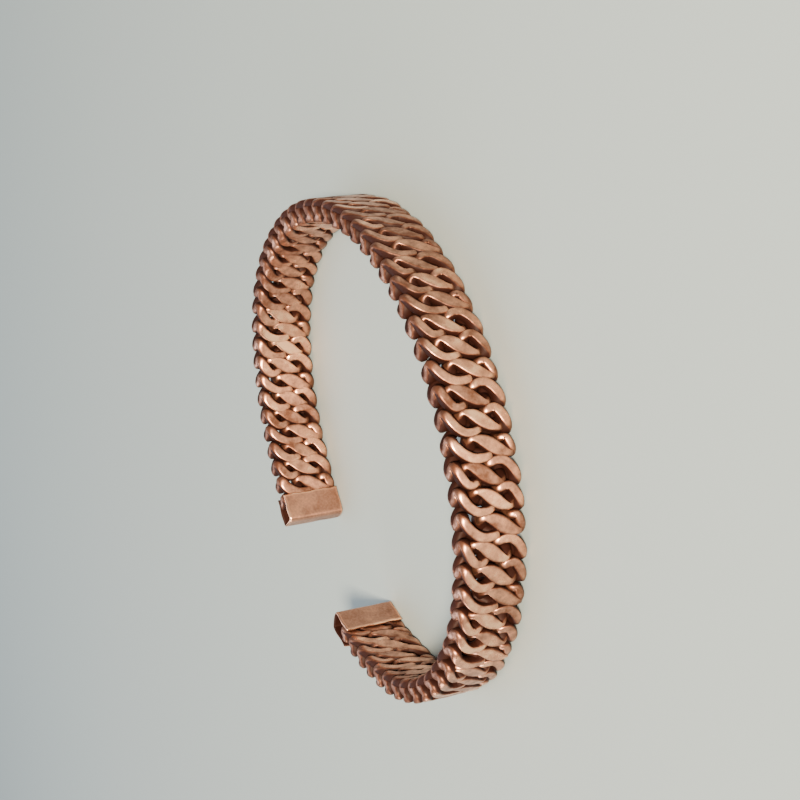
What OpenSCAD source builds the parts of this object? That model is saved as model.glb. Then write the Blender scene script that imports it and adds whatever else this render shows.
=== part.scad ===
// Open cuff of thick copper wire. Three long wires run the whole way round. Each one winds round
// and round across the band, and the middle one threads through the other two. A folded sheet
// cap closes each end. The cuff lies on one edge, with its back at +X and its mouth at -X.

/* [Cuff] */
// Length of the cuff along the middle of the band, tip to tip
cuff_length = 163; // [152:0.5:172]
// Radius of the bend next to the lower tip
lower_tip_radius = 34; // [26:0.5:50]
// Radius of the tight bend below the back
lower_bend_radius = 20.4; // [18:0.1:30]
// Radius of the bend from there to the back
lower_back_radius = 27.6; // [24:0.1:40]
// Radius of the back of the cuff, opposite the mouth
back_radius = 36.7; // [32:0.1:50]
// Radius of the bend where the back leads to the upper end
upper_back_radius = 31.8; // [27:0.1:45]
// Radius of the bend before the upper end
shoulder_radius = 25.4; // [22:0.1:35]
// Radius of the tight bend at the upper end
upper_bend_radius = 18.6; // [17:0.1:25]
// Radius of the bend between there and the upper tip
upper_arm_radius = 28.3; // [25:0.1:40]
// Radius of the bend next to the upper tip
upper_tip_radius = 61; // [50:1:90]

/* [Weave] */
// Width of the woven band, from edge to edge
band_width = 8.2; // [7.8:0.05:8.6]
// Thickness of the woven band
band_thickness = 3; // [2.9:0.05:3.2]
// Diameter of the wire, less than the real 1.2 mm so that the wires stay clear of each other
wire_diameter = 0.9; // [0.7:0.01:0.9]
// Mean distance from one row of the weave to the next
row_pitch = 2.65; // [2.5:0.01:2.75]
// Share by which the rows are further apart at the back and closer at the tips
row_spread = 0.06; // [0:0.01:0.08]

/* [Caps] */
// Length of each cap along the band
cap_length = 4; // [3.5:0.1:6]
// Thickness of the caps' sheet
cap_sheet = 0.4; // [0.3:0.05:0.6]
// Height of the caps' edges above the band's own edge
cap_inset = 0.1; // [0.05:0.05:0.3]
// Free space between the wires and the sheet round them
cap_clearance = 0.12; // [0.12:0.01:0.3]

/* [Hidden] */

// Share of the cuff's length and radius of each bend, from the lower tip to the upper one
BENDS = [
    [1 / 12, lower_tip_radius],
    [2 / 12, lower_bend_radius],
    [1 / 12, lower_back_radius],
    [2 / 12, back_radius],
    [2 / 12, upper_back_radius],
    [1 / 12, shoulder_radius],
    [1 / 12, upper_bend_radius],
    [1 / 12, upper_arm_radius],
    [1 / 12, upper_tip_radius]
];

// Where each wire turns back, in three rows that repeat, as shares of the band's width. The
// columns are the left wire's two turns, the middle wire's two and the right wire's two.
ROW_TURNS = [
    [0.00, 0.24, 0.25, 0.70, 0.58, 1.00],
    [0.03, 0.48, 0.35, 0.80, 0.68, 1.00],
    [0.00, 0.37, 0.24, 0.71, 0.57, 1.00]
];

// How each wire moves along the band as it winds, as shares of the row pitch. The columns are
// its start, the lead of one edge over the other and the lean of its crossings.
WIRE_LEANS = [
    [0.04, -0.19, 0.05],
    [0.00, 0.00, 0.09],
    [-0.04, 0.19, 0.05]
];

wire_r = wire_diameter / 2;
wire_sides = 5;
// Distance from the wire's middle to its flats
flat_r = wire_r * cos(180 / wire_sides);
stations_per_turn = 8;
// How square the wires' windings are, from 0 for a plain oval
squareness = 0.6;
turn_count = floor((cuff_length - 2 * (cap_sheet + wire_diameter)) / row_pitch);
first_row = (cuff_length - turn_count * row_pitch) / 2;
winding_depth = band_thickness / 2 - flat_r;
// Inside the caps the band is pressed to this share of its depth
pressed_share = 0.6;

// Length along the cuff, heading in degrees and place where each bend starts
function turn_of(i, length) = length / BENDS[i][1] * 180 / PI;
function bend_length(i) = BENDS[i][0] * cuff_length;
function bend_start(i) = i == 0 ? 0 : bend_start(i - 1) + bend_length(i - 1);
function bend_heading(i) = i == 0 ? 0 : bend_heading(i - 1) + turn_of(i - 1, bend_length(i - 1));
function after_arc(i, from, heading, length) =
    let (a = heading + turn_of(i, length))
    from + BENDS[i][1] * [sin(a) - sin(heading), cos(heading) - cos(a)];
function bend_place(i) = i == 0 ? [0, 0] :
    after_arc(i - 1, bend_place(i - 1), bend_heading(i - 1), bend_length(i - 1));

last_bend = len(BENDS) - 1;
starts = [for (i = [0:last_bend]) bend_start(i)];
headings = [for (i = [0:last_bend]) bend_heading(i)];
places = [for (i = [0:last_bend]) bend_place(i)];

function bend_at(s, i = last_bend) = i == 0 || s >= starts[i] ? i : bend_at(s, i - 1);
function raw_heading(s) = let (i = bend_at(s)) headings[i] + turn_of(i, s - starts[i]);
function raw_place(s) = let (i = bend_at(s)) after_arc(i, places[i], headings[i], s - starts[i]);

// The cuff is turned so that its middle heads along +Y, and centred on its own outline
first_heading = 90 - raw_heading(cuff_length / 2);
function heading(s) = raw_heading(s) + first_heading;
function turned(p) =
    [p[0] * cos(first_heading) - p[1] * sin(first_heading),
     p[0] * sin(first_heading) + p[1] * cos(first_heading)];
outline = [for (i = [0:300]) turned(raw_place(i * cuff_length / 300))];
outline_x = [for (p = outline) p[0]];
outline_y = [for (p = outline) p[1]];
middle = [(max(outline_x) + min(outline_x)) / 2, (max(outline_y) + min(outline_y)) / 2];
function place(s) = turned(raw_place(s)) - middle;

// Point of the band at s along it, h outward through it and z up across it
function in_band(s, h, z) =
    let (p = place(s), a = heading(s))
    [p[0] + h * sin(a), p[1] - h * cos(a), z];

// Share of full depth that the weave has at s. It grows over one row beyond the caps.
function depth_share(s) =
    let (inside = min(s, cuff_length - s) - cap_length, f = min(1, max(0, inside / row_pitch)))
    pressed_share + (1 - pressed_share) * f * f * (3 - 2 * f);

// Place across the band of a wire's n-th turn: even at its right end and odd at its left
function turn_place(wire, n) =
    let (row = ROW_TURNS[(floor(n / 2) + 3) % 3], column = 2 * wire + (n % 2 == 0 ? 1 : 0))
    min(band_width - wire_r, max(wire_r, band_width * row[column]));

// Place along the band of a row, counted from the lower tip, with parts of a row between
function row_place(row) =
    first_row + row_pitch * (row - row_spread * turn_count / (2 * PI) * sin(360 * row / turn_count));

// Middle of a wire at winding angle t, as s, h and z in the band
function wire_place(wire, t) =
    let (n = floor(t / 180), from = turn_place(wire, n), to = turn_place(wire, n + 1),
         across = (from + to) / 2 + (from - to) / 2 * cos(t - 180 * n),
         lean = WIRE_LEANS[wire],
         s = row_place(t / 360 + lean[0] + lean[1] * sin(t) - lean[2] * sin(2 * t)),
         h = winding_depth * depth_share(s) * sin(t) * (1 + squareness * cos(t) * cos(t)))
    [s, h, band_width - across];

function unit(v) = v / norm(v);

// Corners of the wire's section at winding angle t, in a ring round its middle
function wire_ring(wire, t) =
    let (p = wire_place(wire, t), d = unit(wire_place(wire, t + 1) - wire_place(wire, t - 1)),
         out = unit([0, -d[2], d[1]]), side = cross(d, out))
    [for (i = [0:wire_sides - 1]) let (a = 360 * (i + 0.5) / wire_sides)
        p + wire_r * (out * cos(a) + side * sin(a))];

// One wire with all its windings, from the lower tip to the upper one
module strand(wire) {
    last = turn_count * stations_per_turn;
    rings = [for (i = [0:last]) wire_ring(wire, 360 * i / stations_per_turn)];
    corners = [for (ring = rings, c = ring) in_band(c[0], c[1], c[2])];
    sides = [for (i = [0:last - 1], j = [0:wire_sides - 1], half = [0, 1])
        let (a = i * wire_sides + j, b = i * wire_sides + (j + 1) % wire_sides)
        half == 0 ? [a, b, b + wire_sides] : [a, b + wire_sides, a + wire_sides]];
    first_end = [for (j = [wire_sides - 1:-1:0]) j];
    last_end = [for (j = [0:wire_sides - 1]) last * wire_sides + j];
    polyhedron(corners, concat(sides, [first_end, last_end]));
}

// Sheet folded over a tip: two leaves that follow the band and the fold that joins them
module cap(tip, inward) {
    inner = pressed_share * winding_depth + wire_r + cap_clearance;
    outer = inner + cap_sheet;
    function edge(h, from, to) = [for (share = [0:0.25:1])
        let (p = in_band(tip + inward * (from + share * (to - from)), h, 0)) [p[0], p[1]]];
    translate([0, 0, cap_inset])
        linear_extrude(band_width - 2 * cap_inset)
            polygon(concat(edge(outer, 0, cap_length), edge(inner, cap_length, cap_sheet),
                           edge(-inner, cap_sheet, cap_length), edge(-outer, cap_length, 0)));
}

module left_strand() { color("#b9785a") strand(0); }
module middle_strand() { color("#c68463") strand(1); }
module right_strand() { color("#a96a4e") strand(2); }
module upper_cap() { color("#c4866a") cap(cuff_length, -1); }
module lower_cap() { color("#c4866a") cap(0, 1); }

left_strand();
middle_strand();
right_strand();
upper_cap();
lower_cap();
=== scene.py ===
"""Looks of the woven copper cuff: three hammered wires and two folded caps.

The pieces' sizes are in millimetres, and MM turns them to the frame's metres.
"""

import math

import bpy
import numpy as np
from mathutils import Matrix, Vector


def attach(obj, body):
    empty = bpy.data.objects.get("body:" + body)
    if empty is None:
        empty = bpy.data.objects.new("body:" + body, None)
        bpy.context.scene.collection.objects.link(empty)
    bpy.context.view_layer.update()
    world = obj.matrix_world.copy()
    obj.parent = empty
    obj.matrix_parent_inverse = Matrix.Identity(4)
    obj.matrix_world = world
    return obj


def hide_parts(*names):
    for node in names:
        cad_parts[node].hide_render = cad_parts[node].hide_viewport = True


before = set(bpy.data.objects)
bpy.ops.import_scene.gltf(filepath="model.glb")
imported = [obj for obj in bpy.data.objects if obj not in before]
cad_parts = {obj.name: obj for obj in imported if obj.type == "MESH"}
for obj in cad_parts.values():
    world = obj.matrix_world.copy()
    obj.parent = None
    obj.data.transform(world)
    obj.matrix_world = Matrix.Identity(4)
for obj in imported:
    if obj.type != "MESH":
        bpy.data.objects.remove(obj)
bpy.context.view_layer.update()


# The three wires. Each is one long copper wire that winds round and round across the band, and
# the middle one threads through the other two. After weaving the band was hammered flat and
# dipped dark, and then its high places were polished bright.
MM = 0.001
cuff_length = 163.0
# Bends of the cuff, from its lower tip to its upper one
bends = np.array([
    # twelfths of the length, radius
    [1, 34.0],
    [2, 20.4],
    [1, 27.6],
    [2, 36.7],
    [2, 31.8],
    [1, 25.4],
    [1, 18.6],
    [1, 28.3],
    [1, 61.0],
])
bend_radius = bends[:, 1]
bend_length = bends[:, 0] / 12 * cuff_length
bend_start = np.concatenate([[0], np.cumsum(bend_length)[:-1]])
bend_heading = np.concatenate([[0], np.cumsum(bend_length / bend_radius)[:-1]])


def after_arc(index, heading, length):
    """Step along bend `index`: radius times the change of (sin, -cos) of the heading."""
    end = heading + length / bend_radius[index]
    radius = bend_radius[index]
    return np.stack([radius * (np.sin(end) - np.sin(heading)),
                     radius * (np.cos(heading) - np.cos(end))], axis=-1)


every_bend = np.arange(len(bends))
bend_steps = after_arc(every_bend, bend_heading, bend_length)
bend_place = np.concatenate([[[0, 0]], np.cumsum(bend_steps, axis=0)[:-1]])


def raw_line(s):
    """Heading and place of the band's middle at s, from the arc that s lies on."""
    index = np.clip(np.searchsorted(bend_start, s, side="right") - 1, 0, len(bends) - 1)
    heading = bend_heading[index]
    run = s - bend_start[index]
    place = bend_place[index] + after_arc(index, heading, run)
    return heading + run / bend_radius[index], place


# The cuff is turned so that its middle heads along +Y, and centred on its own outline
first_heading = math.pi / 2 - float(raw_line(np.array([cuff_length / 2]))[0][0])
turn_back = np.array([[math.cos(first_heading), math.sin(first_heading)],
                      [-math.sin(first_heading), math.cos(first_heading)]])
outline_points = 301
outline = raw_line(np.linspace(0, cuff_length, outline_points))[1] @ turn_back
outline_middle = (outline.max(0) + outline.min(0)) / 2


def in_band(s, h, z):
    """Point at s along the band, h outward from its middle and z up across it, in millimetres."""
    heading, place = raw_line(s)
    heading = heading + first_heading
    place = place @ turn_back - outline_middle
    x = place[..., 0] + h * np.sin(heading)
    y = place[..., 1] - h * np.cos(heading)
    return np.stack([x, y, z], axis=-1)


band_width = 8.2
band_thickness = 3.0
row_count = 60
# Mean distance from row to row, and the share by which it is more at the back and less at the tips
row_pitch = 2.65
row_spread = 0.06
first_row = (cuff_length - row_count * row_pitch) / 2
cap_length = 4.0
# Inside the caps the weave has this share of its depth, and its flats lie this much lower
pressed_share = 0.6
cap_squeeze = 0.42
wire_radius = 0.72
# Full depth of the weave, from the band's middle to that of a wire that crosses a face
winding_depth = 0.98

# Each wire's two turns in three rows that repeat, as shares of the band's width from its left
row_turns = np.array([
    # left wire's two, middle wire's two, right wire's two
    [0.00, 0.33, 0.22, 0.69, 0.56, 1.00],
    [0.03, 0.57, 0.36, 0.88, 0.79, 1.00],
    [0.00, 0.46, 0.30, 0.76, 0.66, 1.00],
])
# Path of the left wire over the outer face, from its right turn to its left one. The places
# across are from -1 at the left turn to 1 at the right one, and half widths are in millimetres.
edge_path = np.array([
    # half turns, place across, share of full depth, rows along the band, half width
    [0.00, 1.00, 0.00, 0.00, 0.74],
    [0.08, 0.97, 0.55, -0.06, 0.58],
    [0.18, 0.80, 0.93, -0.11, 0.50],
    [0.32, 0.44, 1.00, -0.17, 0.54],
    [0.46, -0.05, 1.00, -0.14, 0.58],
    [0.58, -0.54, 0.98, 0.06, 0.60],
    [0.70, -0.88, 0.92, 0.35, 0.62],
    [0.81, -1.00, 0.74, 0.61, 0.64],
    [0.91, -1.00, 0.42, 0.66, 0.65],
    [1.00, -0.97, 0.00, 0.50, 0.66],
])
# The same for the middle wire
middle_path = np.array([
    [0.00, 1.00, 0.00, 0.00, 0.95],
    [0.10, 0.99, 0.60, -0.06, 0.60],
    [0.22, 0.82, 0.90, -0.12, 0.48],
    [0.36, 0.42, 1.00, 0.03, 0.76],
    [0.50, 0.00, 1.04, 0.25, 0.88],
    [0.64, -0.42, 1.00, 0.47, 0.76],
    [0.78, -0.82, 0.90, 0.61, 0.46],
    [0.90, -0.99, 0.60, 0.56, 0.60],
    [1.00, -1.00, 0.00, 0.50, 0.95],
])
# The right wire does on the right what the left wire does on the left
right_path = edge_path[::-1] * [-1, -1, 1, -1, 1] + [1, 0, 0, 0.5, 0]
# Width of a wire on the inner face, as a share of its width on the outer one
inner_widening = 1.2


def whole_turn(path):
    """A path with its way back over the inner face: the same half turn backward, hammered wider."""
    way_back = path[::-1] * [-1, 1, -1, -1, inner_widening] + [2, 0, 0, 1, 0]
    return np.concatenate([path[:-1], way_back[:-1]])


wire_paths = [whole_turn(edge_path), whole_turn(middle_path), whole_turn(right_path)]


def along_path(path, t):
    """Place across, share of depth, rows along and half width after t half turns.

    A cubic joins each point of the path to the next. Its slope at a point is the one between that
    point's two neighbours. The half row that each half turn covers is taken out before and put
    back after, so that the path repeats.
    """
    values = path[:, 1:] - path[:, :1] * [0, 0, 0.5, 0]
    count = len(path)
    knots = np.concatenate([path[-2:, 0] - 2, path[:, 0], path[:3, 0] + 2])
    values = values[np.arange(-2, count + 3) % count]
    slopes = (values[2:] - values[:-2]) / (knots[2:] - knots[:-2])[:, None]
    inside = np.mod(t, 2)
    index = np.searchsorted(knots, inside, side="right") - 1
    step = (knots[index + 1] - knots[index])[:, None]
    f = (inside - knots[index])[:, None] / step
    from_value = (2 * f ** 3 - 3 * f ** 2 + 1) * values[index]
    from_slope = (f ** 3 - 2 * f ** 2 + f) * step * slopes[index - 1]
    to_value = (3 * f ** 2 - 2 * f ** 3) * values[index + 1]
    to_slope = (f ** 3 - f ** 2) * step * slopes[index]
    curve = from_value + from_slope + to_value + to_slope
    curve[:, 2] += t / 2
    return curve


def smooth_step(low, high, x):
    """0 on low's side, 1 on high's side, and 3f^2 - 2f^3 of the share f between them."""
    f = np.clip((x - low) / (high - low), 0, 1)
    return f * f * (3 - 2 * f)


def beyond_caps(s):
    """0 inside the caps and 1 from a row beyond them on."""
    return smooth_step(0, row_pitch, np.minimum(s, cuff_length - s) - cap_length)


# Share of a half turn, before and after a turn, in which one face's row passes into the next's
turn_blend = 0.2
# Crossings shorter than the first share of the band's width begin to get straighter and lower.
# From the second share down they have lost this much of their lean and of their depth.
short_crossing = (0.28, 0.12)
short_lean_loss = 0.5
short_depth_loss = 0.25
# Added before rounding down, so that a whole number of half turns stays whole
rounding_guard = 1e-9


def wire_line(wire, t, wobble):
    """Middle of a wire after t half turns, as s, h and z, and its half width.

    The row says how far to the left and right it goes on each face, and near a turn it passes
    smoothly from one face's value to the next one's. A short crossing is straighter and lower.
    """
    half_turn = np.floor(t + rounding_guard).astype(int)
    step = np.arange(-2, 2 * row_count + 4)
    edge = wire_radius / band_width
    ends = row_turns[(step // 2) % 3, 2 * wire:2 * wire + 2] + wobble[0][:, None]
    ends = np.clip(ends, edge, 1 - edge) * band_width
    here = ends[half_turn + 2]
    share = (t - half_turn)[:, None]
    here = here + (ends[half_turn + 1] - here) * smooth_step(turn_blend, -turn_blend, share)
    here = here + (ends[half_turn + 3] - here) * smooth_step(1 - turn_blend, 1 + turn_blend, share)
    left_turn, right_turn = here.T
    across, depth, row, half_width = along_path(wire_paths[wire], t).T
    across = (right_turn + left_turn) / 2 + (right_turn - left_turn) / 2 * across
    short = smooth_step(*short_crossing, (right_turn - left_turn) / band_width)
    depth = depth * (1 - short_depth_loss * short)
    row = row + short_lean_loss * short * (t / 2 - row) + np.interp(t, step, wobble[1])
    bunched = row_spread * row_count / (2 * np.pi) * np.sin(2 * np.pi * row / row_count)
    s = first_row + row_pitch * (row - bunched)
    h = winding_depth * depth * (pressed_share + (1 - pressed_share) * beyond_caps(s))
    return np.stack([s, h, band_width - across], axis=-1), half_width


def held_under(h, limit, rounding):
    """h held under limit, with a corner that is rounded over the given distance."""
    near = np.maximum(rounding - np.abs(limit - h), 0)
    return np.minimum(h, limit) - near ** 2 / (4 * rounding)


# Power of the oval section: 1 is a plain oval, and less is squarer
roundness = 0.8
# Depth of the flats under the band's face, and how much deeper they are at a wire's turns
face_gap = 0.02
turn_sink = 0.04
# Distance above and below a flat within which its edge is rounded
rolled_edge = 0.13
# What the hand work leaves uneven, as standard deviations: the place of a turn as a share of the
# band's width and of a row, the slope of a flat, and the share of a wire's width
place_jitter = 0.014
hammer_tilt = 0.05
width_jitter = 0.05
# Polish on a wire's top, what the flats add to it, and how much that differs between them
top_polish = 0.58
flat_polish = 0.25
flat_polish_jitter = 0.08
# Where the polish grows from none to full: share of the full depth, share of the band's half
# width, sine of the angle round the section, and height over a flat
face_polish_range = (0.15, 0.75)
edge_polish_range = (0.45, 0.75)
top_polish_range = (0.3, 0.95)
flat_polish_range = (-0.16, 0.02)
# Half turns before and after a point between which the wire's direction is measured
direction_step = 0.004
# Least bend of the wire that is counted, as one over a radius in millimetres
least_bend = 0.01
# Rings of points for each row, and points in each ring
stations = 44
ring_sides = 28


def woven_wire(wire, seed):
    """Rings of a wire and how far each point is polished.

    After t half turns the section faces along (sin, -cos^3) of pi t, made square to the wire. It
    is nearly round where the wire turns and an oval where it crosses a face. The oval stands out
    of the band there and is cut off level with the face, which gives the hammered flats. On the
    inner side of a bend the half width w becomes r tanh(w / r), with r the bend's radius, so that
    nothing folds. The polish lies on tops that reach a face or an edge of the band, and on flats.
    """
    rng = np.random.default_rng(seed)
    step = np.arange(-2, 2 * row_count + 4)
    wobble = rng.normal(0, place_jitter, (2, len(step)))
    t = np.linspace(0, 2 * row_count, row_count * stations + 1)
    line, half_width = wire_line(wire, t, wobble)
    before = wire_line(wire, t - direction_step, wobble)[0]
    ahead = wire_line(wire, t + direction_step, wobble)[0] - before
    ahead /= np.linalg.norm(ahead, axis=-1, keepdims=True)
    facing = np.stack([np.zeros(len(t)), np.sin(np.pi * t), -np.cos(np.pi * t) ** 3], axis=-1)
    outward = facing - (facing * ahead).sum(-1, keepdims=True) * ahead
    outward /= np.linalg.norm(outward, axis=-1, keepdims=True)
    sideways = np.cross(ahead, outward)
    spread = 1 + np.interp(t - 0.5, step, rng.normal(0, width_jitter, len(step)))
    width = half_width * spread
    angle = np.linspace(0, 2 * np.pi, ring_sides, endpoint=False)
    aside = width[:, None] * np.sign(np.cos(angle)) * np.abs(np.cos(angle)) ** roundness
    above = wire_radius * np.sign(np.sin(angle)) * np.abs(np.sin(angle)) ** roundness
    step_length = np.linalg.norm(np.gradient(line, axis=0), axis=-1)
    bend = (np.gradient(ahead, axis=0) * sideways).sum(-1) / step_length
    room = 1 / np.maximum(np.abs(bend), least_bend)[:, None]
    held_in = np.sign(aside) * room * np.tanh(np.abs(aside) / room)
    aside = np.where(aside * bend[:, None] > 0, held_in, aside)
    points = line[:, None] + sideways[:, None] * aside[..., None]
    points = points + outward[:, None] * above[None, :, None]
    tilt = rng.normal(0, hammer_tilt, len(step))[(np.floor(t + rounding_guard) + 2).astype(int)]
    limit = (band_thickness / 2 - cap_squeeze * (1 - beyond_caps(points[..., 0]))
             - turn_sink * np.cos(np.pi * t[:, None]) ** 2 + tilt[:, None] * aside - face_gap)
    height = np.abs(points[..., 1])
    points[..., 1] = np.sign(points[..., 1]) * held_under(height, limit, rolled_edge)
    points[..., 2] = np.clip(points[..., 2], 0, band_width)
    at_face = smooth_step(*face_polish_range, np.abs(line[:, 1]) / winding_depth)
    at_edge = smooth_step(*edge_polish_range, np.abs(line[:, 2] / band_width * 2 - 1))
    reach = np.maximum(at_face, at_edge)[:, None]
    on_top = smooth_step(*top_polish_range, np.sin(angle))[None]
    on_flat = smooth_step(*flat_polish_range, height - limit)
    shade = np.interp(t - 0.5, step, rng.normal(0, 1, len(step)))
    flat_worn = (flat_polish + flat_polish_jitter * shade[:, None]) * on_flat
    worn = np.clip(reach * on_top * top_polish + flat_worn, 0, 1)
    return points, worn


def smooth_mesh(name, points, faces, attributes):
    """Smooth object from points in millimetres and faces. Each attribute is a number per point."""
    mesh = bpy.data.meshes.new(name)
    mesh.from_pydata((points.reshape(-1, 3) * MM).tolist(), [], faces)
    for label, values in attributes.items():
        layer = mesh.attributes.new(label, "FLOAT", "POINT")
        layer.data.foreach_set("value", values.reshape(-1).astype(np.float32))
    mesh.shade_smooth()
    piece = bpy.data.objects.new(name, mesh)
    bpy.context.scene.collection.objects.link(piece)
    return piece


def ring_walls(rings, sides):
    """Faces with four corners between each ring of points and the next one."""
    ring = np.arange(rings - 1)[:, None] * sides
    side = np.arange(sides)[None, :]
    after = (side + 1) % sides
    corners = [ring + side, ring + after, ring + sides + after, ring + sides + side]
    return np.stack(corners, axis=-1).reshape(-1, 4)


def swept_mesh(name, points, attributes):
    """Closed tube through rings of points, with one flat face on each end."""
    rings, sides = points.shape[:2]
    first_end = [list(range(sides - 1, -1, -1))]
    last_end = [list(range((rings - 1) * sides, rings * sides))]
    faces = ring_walls(rings, sides).tolist() + first_end + last_end
    return smooth_mesh(name, points, faces, attributes)


def linear(hex_colour):
    """Linear RGBA of an sRGB hex colour: ((c + 0.055) / 1.055) to the power 2.4 above 0.04045."""
    srgb = [int(hex_colour[i:i + 2], 16) / 255 for i in (1, 3, 5)]
    rgb = [c / 12.92 if c <= 0.04045 else ((c + 0.055) / 1.055) ** 2.4 for c in srgb]
    return (*rgb, 1.0)


def add_node(tree, kind, links=None, **settings):
    """Adds a shader node, sets its properties and sockets, and links sockets from other nodes."""
    node = tree.nodes.new(kind)
    for key, value in settings.items():
        if hasattr(node, key):
            setattr(node, key, value)
        else:
            node.inputs[key].default_value = value
    for socket, source in (links or {}).items():
        tree.links.new(source, node.inputs[socket])
    return node


def new_material(name):
    """Empty node material and its Principled shader."""
    material = bpy.data.materials.new(name)
    material.use_nodes = True
    return material, material.node_tree, material.node_tree.nodes["Principled BSDF"]


# Colour of the copper by its share of polish, from the dark of the dip to bare bright metal
copper_colours = (
    (0.0, "#1c0a06"),
    (0.2, "#2a120b"),
    (0.45, "#6e4837"),
    (0.65, "#a97a65"),
    (0.85, "#de9f7e"),
    (1.0, "#fec59c"),
)
# Regions that took more or less of the polish
region_size = 10
# Scratches and pits, about as fine as the render can show
grain_size = 0.3125
relief_height = 0.1


def dipped_copper(name, blotch_size, blotch_depth):
    """Copper dipped in a dark bath and then rubbed bright where the worn attribute is high.

    The eye gets a soft metal shine in patches, pink and pale on the high places, and between them
    a dull brown that is nearly black.
    """
    material, tree, shader = new_material(name)
    place = add_node(tree, "ShaderNodeTexCoord").outputs["Object"]
    worn = add_node(tree, "ShaderNodeAttribute", attribute_name="worn").outputs["Fac"]
    blotch = add_node(tree, "ShaderNodeTexNoise", {"Vector": place},
                      Scale=1 / (blotch_size * MM), Detail=4, Roughness=0.6)
    region = add_node(tree, "ShaderNodeTexNoise", {"Vector": place},
                      Scale=1 / (region_size * MM), Detail=1)
    grain = add_node(tree, "ShaderNodeTexNoise", {"Vector": place},
                     Scale=1 / (grain_size * MM), Detail=3, Roughness=0.6)
    # Each pattern takes polish away where it is low and adds some where it is high
    patterns = (
        (blotch, -1.2 * blotch_depth, 0.8 * blotch_depth),
        (region, -0.3, 0.3),
        (grain, -0.12, 0.12),
    )
    polish = worn
    for noise, low, high in patterns:
        part = add_node(tree, "ShaderNodeMapRange", {"Value": noise.outputs["Fac"]},
                        **{"To Min": low, "To Max": high})
        total = add_node(tree, "ShaderNodeMath", {0: polish, 1: part.outputs[0]}, operation="ADD")
        polish = total.outputs[0]
    share = add_node(tree, "ShaderNodeClamp", {"Value": polish}).outputs[0]
    colour = add_node(tree, "ShaderNodeValToRGB", {"Fac": share})
    stops = colour.color_ramp.elements
    for position, _ in copper_colours[1:-1]:
        stops.new(position)
    for stop, (position, hex_colour) in zip(stops, copper_colours):
        stop.position = position
        stop.color = linear(hex_colour)
    tree.links.new(colour.outputs["Color"], shader.inputs["Base Color"])
    # Socket, share of polish at which it stops changing, and its values where dark and where bright
    finishes = (
        ("Roughness", 1, 0.6, 0.22),
        ("Metallic", 0.5, 0, 1),
        ("Specular IOR Level", 1, 0.1, 0.5),
    )
    for socket, full_at, dark, bright in finishes:
        part = add_node(tree, "ShaderNodeMapRange", {"Value": share},
                        **{"From Max": full_at, "To Min": dark, "To Max": bright})
        tree.links.new(part.outputs[0], shader.inputs[socket])
    relief = add_node(tree, "ShaderNodeBump", {"Height": blotch.outputs["Fac"]},
                      Strength=0.35, Distance=relief_height * MM)
    tree.links.new(relief.outputs[0], shader.inputs["Normal"])
    return material


# Seven blotches to the centimetre
wire_material = dipped_copper("hammered_polished_copper_wire", blotch_size=10 / 7, blotch_depth=0.5)
for wire, node in enumerate(["left_strand", "middle_strand", "right_strand"]):
    rings, worn = woven_wire(wire, seed=40 + wire)
    points = in_band(rings[..., 0], rings[..., 1], rings[..., 2])
    piece = swept_mesh("woven_" + node, points, {"worn": worn})
    piece.data.materials.append(wire_material)
    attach(piece, "root")
    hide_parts(node)


# The two caps. Each is a piece of thin copper sheet folded over a tip of the band and pressed
# flat on the wires, so that it holds their ends. Its edges are worn bright and it has small dents.
cap_sheet = 0.36
# Distance of a cap's sides from the band's edges
cap_inset = 0.1
# Distance from the tip to where the fold ends and the leaves begin
cap_fold = 0.8
# How far a leaf is clear of the pressed band, and the height of its middle
leaf_clearance = 0.04
cap_middle = band_thickness / 2 - cap_squeeze + leaf_clearance + cap_sheet / 2
# Points along a leaf and round the fold, and rings of points across the band
leaf_points = 40
fold_points = 30
cap_stations = 70
# Width over which the sheet's borders are rounded, and the share of it at which they end blunt
border_width = 0.15
blunt_share = 0.04
# Number of dents in each cap, and the least and most of their radius and depth
cap_dents = 18
dent_radii = (0.3, 0.8)
dent_depths = (0.01, 0.05)
# Height of each wave along a border, and its radians per millimetre
end_waves = ((0.05, 1.7), (0.03, 4.1))
side_wave = (0.04, 2.3)
# Polish of the sheet's outside, what its worn borders add within these distances from them, what
# each millimetre of a dent's depth takes, and the polish of the inside
sheet_polish = 0.72
border_polish = 0.28
border_polish_range = (0.4, 0.12)
dent_dullness = 1.5
inside_polish = 0.1


def folded_line():
    """Distance from the tip and height of the sheet's middle, from one leaf's end to the other's.

    The leaves are straight. The fold between them is half of a superellipse of the fourth power.
    """
    leaf = np.linspace(cap_length, cap_fold, leaf_points, endpoint=False)
    turn = np.linspace(math.pi / 2, -math.pi / 2, fold_points)
    fold = cap_fold - (cap_fold - cap_sheet / 2) * np.abs(np.cos(turn)) ** 0.5
    height = np.sign(np.sin(turn)) * np.abs(np.sin(turn)) ** 0.5 * cap_middle
    leaf_height = np.full(leaf_points, cap_middle)
    from_tip = np.concatenate([leaf, fold, leaf[::-1]])
    return from_tip, np.concatenate([leaf_height, height, -leaf_height])


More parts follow.
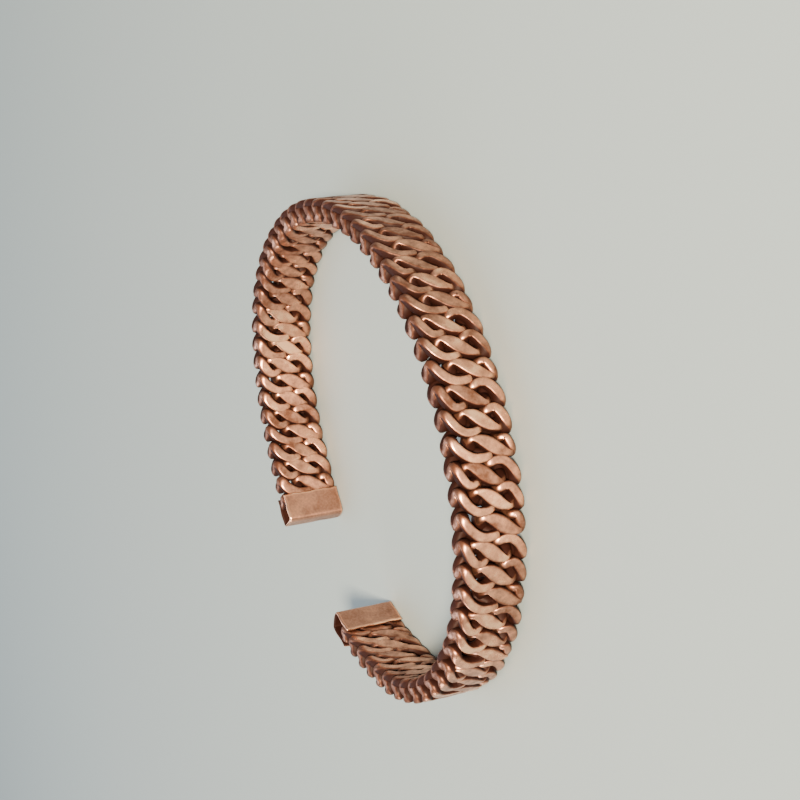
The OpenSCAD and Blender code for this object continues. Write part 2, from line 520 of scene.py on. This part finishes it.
def folded_cap(name, tip, inward, seed):
    """Closed mesh of a cap: a sheet over the folded line and across the band, with its thickness.

    Each dent is a bell curve pressed into both faces of the sheet. The leaves' ends waver as a sum
    of two sines and the sides as one, and the sheet thins in a quarter circle at its borders.
    """
    rng = np.random.default_rng(seed)
    from_tip, height = folded_line()
    run = np.concatenate([[0], np.cumsum(np.hypot(np.diff(from_tip), np.diff(height)))])
    outward = np.stack([np.gradient(height, run), -np.gradient(from_tip, run)])
    outward /= np.hypot(*outward)
    share = np.linspace(0, 1, cap_stations)[:, None]
    z = cap_inset + (band_width - 2 * cap_inset) * share
    dent_run = rng.uniform(0, run[-1], (cap_dents, 1, 1))
    dent_z = rng.uniform(0, band_width, (cap_dents, 1, 1))
    dent_radius = rng.uniform(*dent_radii, (cap_dents, 1, 1))
    dent_depth = rng.uniform(*dent_depths, (cap_dents, 1, 1))
    from_dent = (run - dent_run) ** 2 + (z - dent_z) ** 2
    dents = (dent_depth * np.exp(-from_dent / (2 * dent_radius ** 2))).sum(0)
    from_side = np.minimum(share, 1 - share) * band_width
    in_from_border = np.minimum(from_side, np.minimum(run, run[-1] - run))
    border_share = np.clip(in_from_border / border_width, blunt_share, 1)
    half_sheet = cap_sheet / 2 * np.sqrt(1 - (1 - border_share) ** 2)
    on_leaf = np.clip((from_tip - cap_fold) / (cap_length - cap_fold), 0, 1)
    waver = sum(height_of_wave * np.sin(z * rate + number * seed)
                for number, (height_of_wave, rate) in enumerate(end_waves, 1))
    side_waver = side_wave[0] * np.sin(run * side_wave[1] + seed) * (2 * share - 1)
    faces = []
    for side in (1, -1):
        offset = side * half_sheet - dents
        faces.append(in_band(tip + inward * (from_tip + waver * on_leaf + outward[0] * offset),
                             height + outward[1] * offset, z + side_waver))
    points = np.concatenate([faces[0], faces[1][:, ::-1]], axis=1)
    around = points.shape[1]
    half = np.arange(around // 2 - 1)
    rim = np.stack([half, around - 1 - half, around - 2 - half, half + 1], axis=-1)
    far_rim = rim[:, ::-1] + (cap_stations - 1) * around
    quads = np.concatenate([ring_walls(cap_stations, around), rim, far_rim])
    # The lower cap mirrors the upper one, so its faces' corners are taken the other way round
    quads = quads[:, ::-1] if inward > 0 else quads
    at_border = smooth_step(*border_polish_range, in_from_border)
    outer_worn = sheet_polish + border_polish * at_border - dents * dent_dullness
    worn = np.concatenate([outer_worn, np.full(outer_worn.shape, inside_polish)], axis=1)
    return smooth_mesh(name, points, quads.tolist(), {"worn": worn})


# Four blotches to the centimetre
sheet_material = dipped_copper("dented_copper_sheet", blotch_size=10 / 4, blotch_depth=0.2)
# Each cap's node, tip, direction from the tip into the band, and seed
for node, tip, inward, seed in (("upper_cap", cuff_length, -1, 3), ("lower_cap", 0, 1, 8)):
    piece = folded_cap("folded_" + node, tip, inward, seed)
    piece.data.materials.append(sheet_material)
    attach(piece, "root")
    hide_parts(node)


# The stage: a wide pale floor that the cuff lies on, soft studio light and the photograph's view.
# Its sizes and places are in metres, and the lamps' powers in watts.
bpy.ops.mesh.primitive_plane_add(size=6)
floor = bpy.context.object
floor.name = "floor"
floor_material, _, floor_shader = new_material("pale_floor")
floor_shader.inputs["Base Color"].default_value = linear("#7d8b8e")
floor_shader.inputs["Roughness"].default_value = 0.7
floor.data.materials.append(floor_material)

world = bpy.data.worlds.new("studio")
world.use_nodes = True
world.node_tree.nodes["Background"].inputs["Color"].default_value = linear("#e9ecf0")
world.node_tree.nodes["Background"].inputs["Strength"].default_value = 0.55
bpy.context.scene.world = world


def soft_light(name, place, size, power, hex_colour):
    """Square lamp at a place in metres, turned to the cuff."""
    lamp = bpy.data.lights.new(name, "AREA")
    lamp.size = size
    lamp.energy = power
    lamp.color = linear(hex_colour)[:3]
    holder = bpy.data.objects.new(name, lamp)
    holder.location = place
    holder.rotation_euler = (-Vector(place)).to_track_quat("-Z", "Y").to_euler()
    bpy.context.scene.collection.objects.link(holder)


soft_light("window", (0.38, -0.36, 0.30), 0.1, 24, "#ffe6c6")
soft_light("card", (-0.30, -0.28, 0.12), 0.2, 1.5, "#fff0de")
soft_light("fill", (-0.35, 0.15, 0.5), 0.5, 4, "#eef3ff")

# The view was fitted to the photograph together with the cuff's outline. Its focal length and
# shifts are in pixels of the square frame, and the camera's sensor and lens in millimetres.
camera_azimuth = math.radians(-37.99)
camera_elevation = math.radians(23.89)
camera_roll = math.radians(-26.42)
camera_distance = 0.1817
focal_pixels = 1466.6
shift_right_pixels = -26.1
shift_down_pixels = 37.0
frame_pixels = 800

target = Vector((0, 0, band_width / 2 * MM))
away = Vector((math.cos(camera_elevation) * math.cos(camera_azimuth),
               math.cos(camera_elevation) * math.sin(camera_azimuth),
               math.sin(camera_elevation)))
camera = bpy.data.cameras.new("camera")
camera.sensor_width = 36
camera.lens = focal_pixels / frame_pixels * camera.sensor_width
camera.shift_x = -shift_right_pixels / frame_pixels
camera.shift_y = shift_down_pixels / frame_pixels
camera.clip_start = 0.005
camera.clip_end = 20
camera_holder = bpy.data.objects.new("camera", camera)
level = (-away).cross(Vector((0, 1, 0))).normalized()
upright = level.cross(-away)
right = math.cos(camera_roll) * level + math.sin(camera_roll) * upright
up = math.cos(camera_roll) * upright - math.sin(camera_roll) * level
turn = Matrix((right, up, away)).transposed()
camera_holder.matrix_world = Matrix.Translation(target + away * camera_distance) @ turn.to_4x4()
bpy.context.scene.collection.objects.link(camera_holder)
bpy.context.scene.camera = camera_holder
